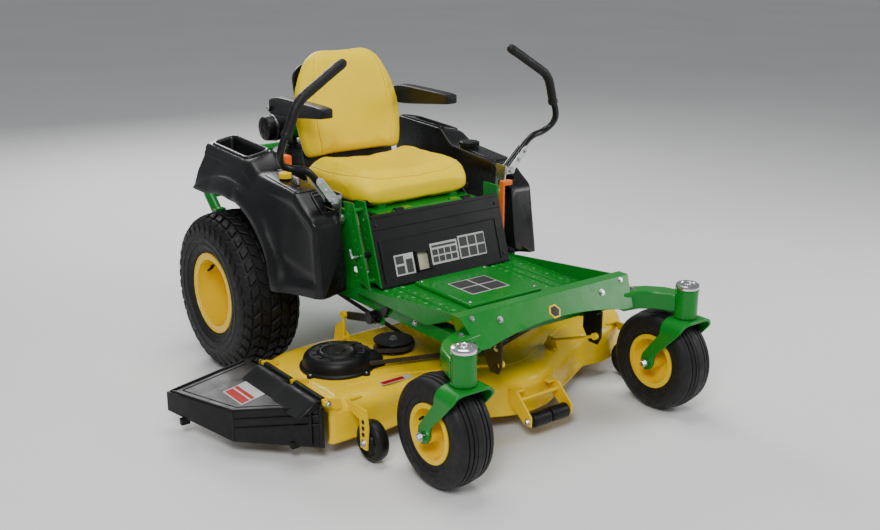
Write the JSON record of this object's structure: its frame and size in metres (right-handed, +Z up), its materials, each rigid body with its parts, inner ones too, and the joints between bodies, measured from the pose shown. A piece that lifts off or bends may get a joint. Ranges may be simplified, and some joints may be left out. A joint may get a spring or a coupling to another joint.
{
  "type": "riding lawn mower",
  "caption": "Ride-on lawn mower steered by twin hand levers, with a seat over drive wheels, front casters, a low cutter deck and a side grass chute.",
  "frame": {"origin": "on the ground, under the middle of the whole machine with its chute down", "axes": "+X to the operator's left, +Y to the tail, +Z up"},
  "size_m": [1.639, 1.956, 1.123],
  "materials": {
    "green_paint": "gloss",
    "yellow_paint": "gloss",
    "black_paint": "satin",
    "fender_plastic": "satin",
    "black_plastic": "satin",
    "engine_metal": "satin",
    "gear_metal": "satin",
    "steel": "satin",
    "tyre_rubber": "matte",
    "belt_rubber": "matte",
    "grip_foam": "matte",
    "seat_vinyl": "satin",
    "arm_pad": "satin",
    "orange_paint": "gloss",
    "orange_plastic": "gloss",
    "yellow_plastic": "gloss",
    "tank_plastic": "satin"
  },
  "bodies": {
    "chassis": {"main_frame": "green_paint", "rear_bumper": "green_paint", "front_crossbar": "green_paint", "caster_arms": "green_paint", "foot_platform": "green_paint", "platform_cover": "green_paint", "front_panel": "black_plastic", "fender_right": "fender_plastic", "fender_left": "fender_plastic", "engine_crankcase": "engine_metal", "engine_shroud": "black_plastic", "air_cleaner": "black_plastic", "muffler": "black_paint", "fuel_tank": "tank_plastic", "transaxles": "gear_metal", "hanger_plates": "black_paint", "height_plates": "green_paint"},
    "clutch": {"clutch_pulley": "steel"},
    "deck": {"deck_shell": "yellow_paint", "belt_covers": "black_plastic", "spindle_housings": "gear_metal", "deck_brackets": "yellow_paint", "deck_belt": "belt_rubber"},
    "idler_right": {"idler_right": "black_paint"},
    "idler_left": {"idler_left": "black_paint"},
    "chute": {"discharge_chute": "black_plastic"},
    "front_roller": {"front_roller": "black_plastic"},
    "lift_shaft": {"rockshaft": "black_paint", "lift_pedal": "black_paint"},
    "seat_base": {"seat_pan": "green_paint"},
    "seat": {"seat_shell": "black_plastic", "seat_cushion": "seat_vinyl", "seat_backrest": "seat_vinyl"},
    "park_brake": {"park_brake_lever": "orange_paint"},
    "throttle": {"throttle_lever": "orange_plastic"},
    "pto_knob": {"pto_knob": "yellow_plastic"},
    "ignition_key": {"ignition_key": "steel"},
    "blade_right": {"blade_right": "steel"},
    "blade_centre": {"blade_centre": "steel"},
    "blade_left": {"blade_left": "steel"},
    "rear_wheel_left": {"rear_tyre_left": "tyre_rubber", "rear_rim_left": "yellow_paint"},
    "caster_left": {"caster_fork_left": "green_paint"},
    "caster_wheel_left": {"caster_tyre_left": "tyre_rubber", "caster_rim_left": "yellow_paint"},
    "gauge_wheel_left": {"gauge_wheel_left": "black_plastic"},
    "lever_base_left": {"lever_bracket_left": "steel"},
    "lever_left": {"lever_bar_left": "black_paint", "lever_grip_left": "grip_foam"},
    "armrest_left": {"armrest_left": "arm_pad"},
    "rear_wheel_right": {"rear_tyre_right": "tyre_rubber", "rear_rim_right": "yellow_paint"},
    "caster_right": {"caster_fork_right": "green_paint"},
    "caster_wheel_right": {"caster_tyre_right": "tyre_rubber", "caster_rim_right": "yellow_paint"},
    "gauge_wheel_right": {"gauge_wheel_right": "black_plastic"},
    "lever_base_right": {"lever_bracket_right": "steel"},
    "lever_right": {"lever_bar_right": "black_paint", "lever_grip_right": "grip_foam"},
    "armrest_right": {"armrest_right": "arm_pad"}
  },
  "joints": [
    {"name": "rear_wheel_left_spin", "type": "hinge", "parent": "chassis", "child": "rear_wheel_left", "pos_m": [0.595, 0.338, 0.2795], "axis": [1, 0, 0], "continuous": true},
    {"name": "caster_left_swivel", "type": "hinge", "parent": "chassis", "child": "caster_left", "pos_m": [0.5565, -0.898, 0.38], "axis": [0, 0, 1], "continuous": true},
    {"name": "caster_wheel_left_spin", "type": "hinge", "parent": "caster_left", "child": "caster_wheel_left", "pos_m": [0.5565, -0.813, 0.165], "axis": [1, 0, 0], "continuous": true},
    {"name": "gauge_wheel_left_spin", "type": "hinge", "parent": "deck", "child": "gauge_wheel_left", "pos_m": [0.6435, -0.582, 0.065], "axis": [1, 0, 0], "continuous": true},
    {"name": "lever_left_drive", "type": "hinge", "parent": "chassis", "child": "lever_base_left", "pos_m": [0.4565, -0.102, 0.6], "axis": [1, 0, 0], "range_deg": [-16, 14]},
    {"name": "lever_left_swing", "type": "hinge", "parent": "lever_base_left", "child": "lever_left", "pos_m": [0.4785, -0.102, 0.676], "axis": [0, 1, 0], "range_deg": [0, 20]},
    {"name": "armrest_left_fold", "type": "hinge", "parent": "seat", "child": "armrest_left", "pos_m": [0.3705, 0.418, 0.885], "axis": [-1, 0, 0], "range_deg": [0, 95]},
    {"name": "rear_wheel_right_spin", "type": "hinge", "parent": "chassis", "child": "rear_wheel_right", "pos_m": [-0.374, 0.338, 0.2795], "axis": [1, 0, 0], "continuous": true},
    {"name": "caster_right_swivel", "type": "hinge", "parent": "chassis", "child": "caster_right", "pos_m": [-0.3355, -0.898, 0.38], "axis": [0, 0, 1], "continuous": true},
    {"name": "caster_wheel_right_spin", "type": "hinge", "parent": "caster_right", "child": "caster_wheel_right", "pos_m": [-0.3355, -0.813, 0.165], "axis": [1, 0, 0], "continuous": true},
    {"name": "gauge_wheel_right_spin", "type": "hinge", "parent": "deck", "child": "gauge_wheel_right", "pos_m": [-0.4225, -0.582, 0.065], "axis": [1, 0, 0], "continuous": true},
    {"name": "lever_right_drive", "type": "hinge", "parent": "chassis", "child": "lever_base_right", "pos_m": [-0.2355, -0.102, 0.6], "axis": [1, 0, 0], "range_deg": [-16, 14]},
    {"name": "lever_right_swing", "type": "hinge", "parent": "lever_base_right", "child": "lever_right", "pos_m": [-0.2575, -0.102, 0.676], "axis": [0, -1, 0], "range_deg": [0, 20]},
    {"name": "armrest_right_fold", "type": "hinge", "parent": "seat", "child": "armrest_right", "pos_m": [-0.1495, 0.418, 0.885], "axis": [-1, 0, 0], "range_deg": [0, 95]},
    {"name": "seat_tilt", "type": "hinge", "parent": "chassis", "child": "seat_base", "pos_m": [0.1105, -0.162, 0.612], "axis": [1, 0, 0], "range_deg": [0, 60]},
    {"name": "seat_slide", "type": "slide", "parent": "seat_base", "child": "seat", "axis": [0, 1, 0], "range_m": [-0.05, 0.05]},
    {"name": "park_brake_pull", "type": "hinge", "parent": "chassis", "child": "park_brake", "pos_m": [0.4075, -0.17, 0.44], "axis": [1, 0, 0], "range_deg": [0, 25]},
    {"name": "throttle_tilt", "type": "hinge", "parent": "chassis", "child": "throttle", "pos_m": [-0.2675, 0.148, 0.668], "axis": [1, 0, 0], "range_deg": [-18, 18]},
    {"name": "pto_pull", "type": "slide", "parent": "chassis", "child": "pto_knob", "axis": [0, 0, 1], "range_m": [0, 0.012]},
    {"name": "key_turn", "type": "hinge", "parent": "chassis", "child": "ignition_key", "pos_m": [-0.3015, 0.028, 0.7], "axis": [0, 0, 1], "range_deg": [-90, 0]},
    {"name": "deck_lift", "type": "slide", "parent": "chassis", "child": "deck", "axis": [0, 0, 1], "range_m": [0, 0.06]},
    {"name": "lift_shaft_turn", "type": "hinge", "parent": "chassis", "child": "lift_shaft", "pos_m": [0.1105, -0.272, 0.312], "axis": [1, 0, 0], "range_deg": [-2, 30]},
    {"name": "chute_fold", "type": "hinge", "parent": "deck", "child": "chute", "pos_m": [-0.5375, -0.322, 0.192], "axis": [0, 1, 0], "range_deg": [0, 75]},
    {"name": "roller_spin", "type": "hinge", "parent": "deck", "child": "front_roller", "pos_m": [0.1105, -0.762, 0.065], "axis": [1, 0, 0], "continuous": true},
    {"name": "blade_centre_spin", "type": "hinge", "parent": "deck", "child": "blade_centre", "pos_m": [0.1105, -0.432, 0.1], "axis": [0, 0, 1], "continuous": true},
    {"name": "blade_left_spin", "type": "hinge", "parent": "deck", "child": "blade_left", "pos_m": [0.5675, -0.272, 0.1], "axis": [0, 0, 1], "continuous": true},
    {"name": "blade_right_spin", "type": "hinge", "parent": "deck", "child": "blade_right", "pos_m": [-0.3465, -0.272, 0.1], "axis": [0, 0, 1], "continuous": true},
    {"name": "idler_right_spin", "type": "hinge", "parent": "deck", "child": "idler_right", "pos_m": [-0.1245, -0.262, 0.2], "axis": [0, 0, 1], "continuous": true},
    {"name": "idler_left_spin", "type": "hinge", "parent": "deck", "child": "idler_left", "pos_m": [0.2605, -0.082, 0.2], "axis": [0, 0, 1], "continuous": true},
    {"name": "clutch_spin", "type": "hinge", "parent": "chassis", "child": "clutch", "pos_m": [0.1105, 0.638, 0.24], "axis": [0, 0, 1], "continuous": true}
  ],
  "couplings": [
    {"joint": "lift_shaft_turn", "follows": "deck_lift", "rad_per_m": 7.885},
    {"joint": "blade_left_spin", "follows": "blade_centre_spin", "ratio": 1},
    {"joint": "blade_right_spin", "follows": "blade_centre_spin", "ratio": 1},
    {"joint": "idler_right_spin", "follows": "blade_centre_spin", "ratio": -0.93333},
    {"joint": "idler_left_spin", "follows": "blade_centre_spin", "ratio": -0.93333},
    {"joint": "clutch_spin", "follows": "blade_centre_spin", "ratio": 1.0182}
  ]
}
